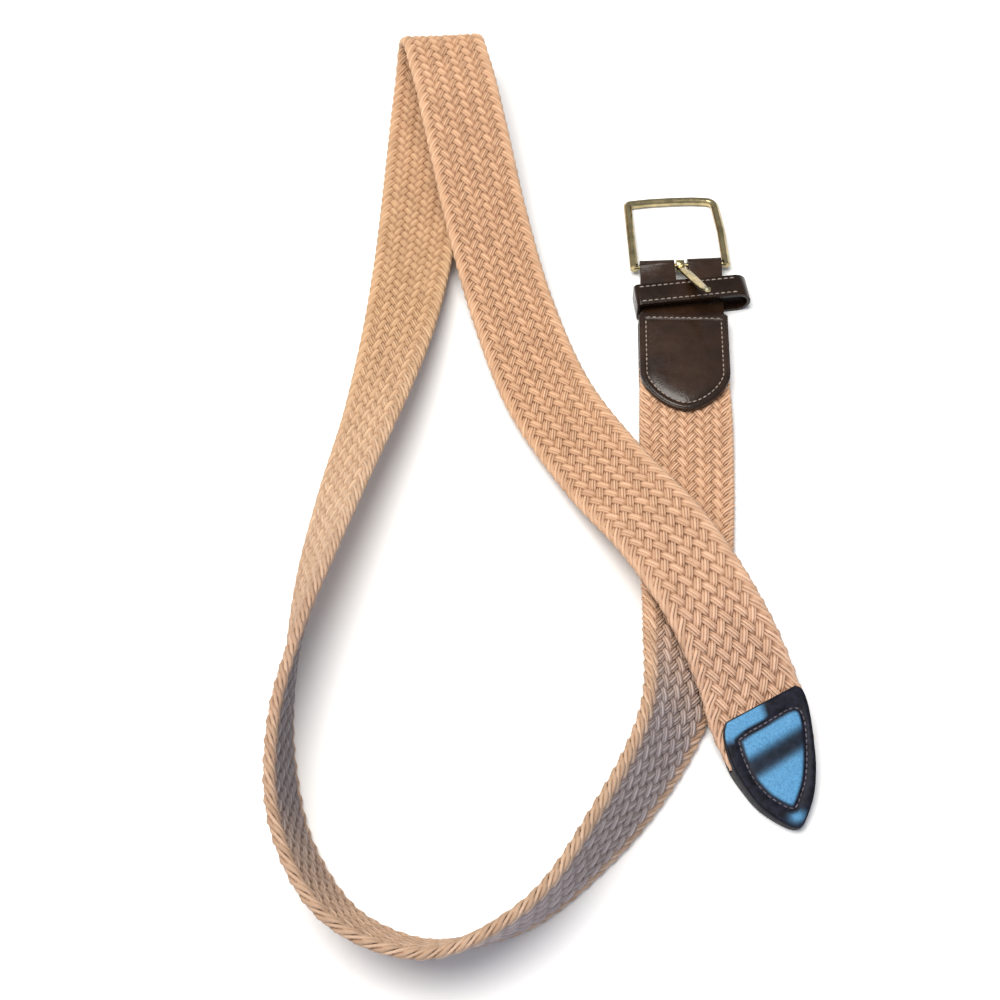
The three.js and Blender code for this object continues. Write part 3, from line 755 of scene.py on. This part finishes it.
brown = leather_material("brown_leather", (0.013, 0.0055, 0.0025), (0.040, 0.018, 0.009))
umber = leather_material("keeper_leather", (0.007, 0.0026, 0.0010), (0.022, 0.009, 0.0035), 0.2, 0.3)
navy = leather_material("tip_edge_leather", (0.004, 0.004, 0.008), (0.014, 0.011, 0.016), 0.5, 0.16)
brass = brass_material()
beige = thread_material("beige_thread", (0.15, 0.11, 0.085), (0.36, 0.29, 0.24))
black = thread_material("dark_thread", (0.015, 0.012, 0.02), (0.13, 0.11, 0.14))

for name, made, width in (("chape", brown, 0.45), ("keeper_loop", umber, 0.35), ("tip_leather", navy, 0.45),
                          ("buckle_frame", brass, 0.25), ("tongue", brass, 0.22)):
    paint(nodes[name], made)
    rounded(nodes[name], width)

patch_pad, tip_panel = leather_pieces()
paint(patch_pad, brown)
paint(tip_panel, tip_material())
patch_stitches, keeper_stitches, tip_stitches = stitch_pieces()
paint(patch_stitches, beige)
paint(keeper_stitches, beige)
paint(tip_stitches, black)
for piece, slot_name in ((patch_pad, "brown_leather"), (patch_stitches, "brown_leather"),
                         (keeper_stitches, "brown_leather"), (tip_panel, "tip_leather"),
                         (tip_stitches, "tip_leather")):
    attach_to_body(piece, "belt")


# Floor, light and camera

def floor():
    bpy.ops.mesh.primitive_plane_add(size=6.0, location=(0, 0, 0))
    plane = bpy.context.object
    plane.name = "floor"
    made, tree, shader = material("pale_floor")
    colour = ramp(tree, noise(tree, 3.0), [(0.3, (0.90, 0.90, 0.90)), (0.7, (0.92, 0.92, 0.92))])
    tree.links.new(colour, shader.inputs["Base Color"])
    shader.inputs["Roughness"].default_value = 0.9
    paint(plane, made)


def area_light(name, place, aim, size, power, colour):
    data = bpy.data.lights.new(name, "AREA")
    data.shape = "DISK"
    data.size, data.energy, data.color = size, power, colour
    lamp = bpy.data.objects.new(name, data)
    lamp.location = place
    lamp.rotation_euler = (Vector(aim) - Vector(place)).to_track_quat("-Z", "Y").to_euler()
    bpy.context.collection.objects.link(lamp)


def camera():
    data = bpy.data.cameras.new("camera")
    data.lens, data.sensor_width = CAMERA_LENS, 36.0
    data.clip_start, data.clip_end = 0.01, 20.0
    eye = bpy.data.objects.new("camera", data)
    pitch = math.radians(CAMERA_PITCH)
    place = np.array([0, -math.cos(pitch), math.sin(pitch)]) * CAMERA_DISTANCE + SHIFT
    eye.location = place * MM
    eye.rotation_euler = (math.radians(90 - CAMERA_PITCH), 0, 0)
    bpy.context.collection.objects.link(eye)
    bpy.context.scene.camera = eye


floor()
# Places and sizes in metres, power in watts
area_light("key", (-0.35, -0.02, 1.45), (0, 0, 0), 1.2, 32.0, (1.0, 0.97, 0.92))
area_light("fill", (0.5, -1.3, 0.35), (0, 0, 0), 0.8, 5.0, (0.55, 0.68, 1.0))
world = bpy.data.worlds.new("studio")
world.use_nodes = True
world.node_tree.nodes["Background"].inputs["Color"].default_value = (0.93, 0.96, 1.0, 1)
world.node_tree.nodes["Background"].inputs["Strength"].default_value = 0.4
bpy.context.scene.world = world
camera()
bpy.context.scene.view_settings.view_transform = "Standard"
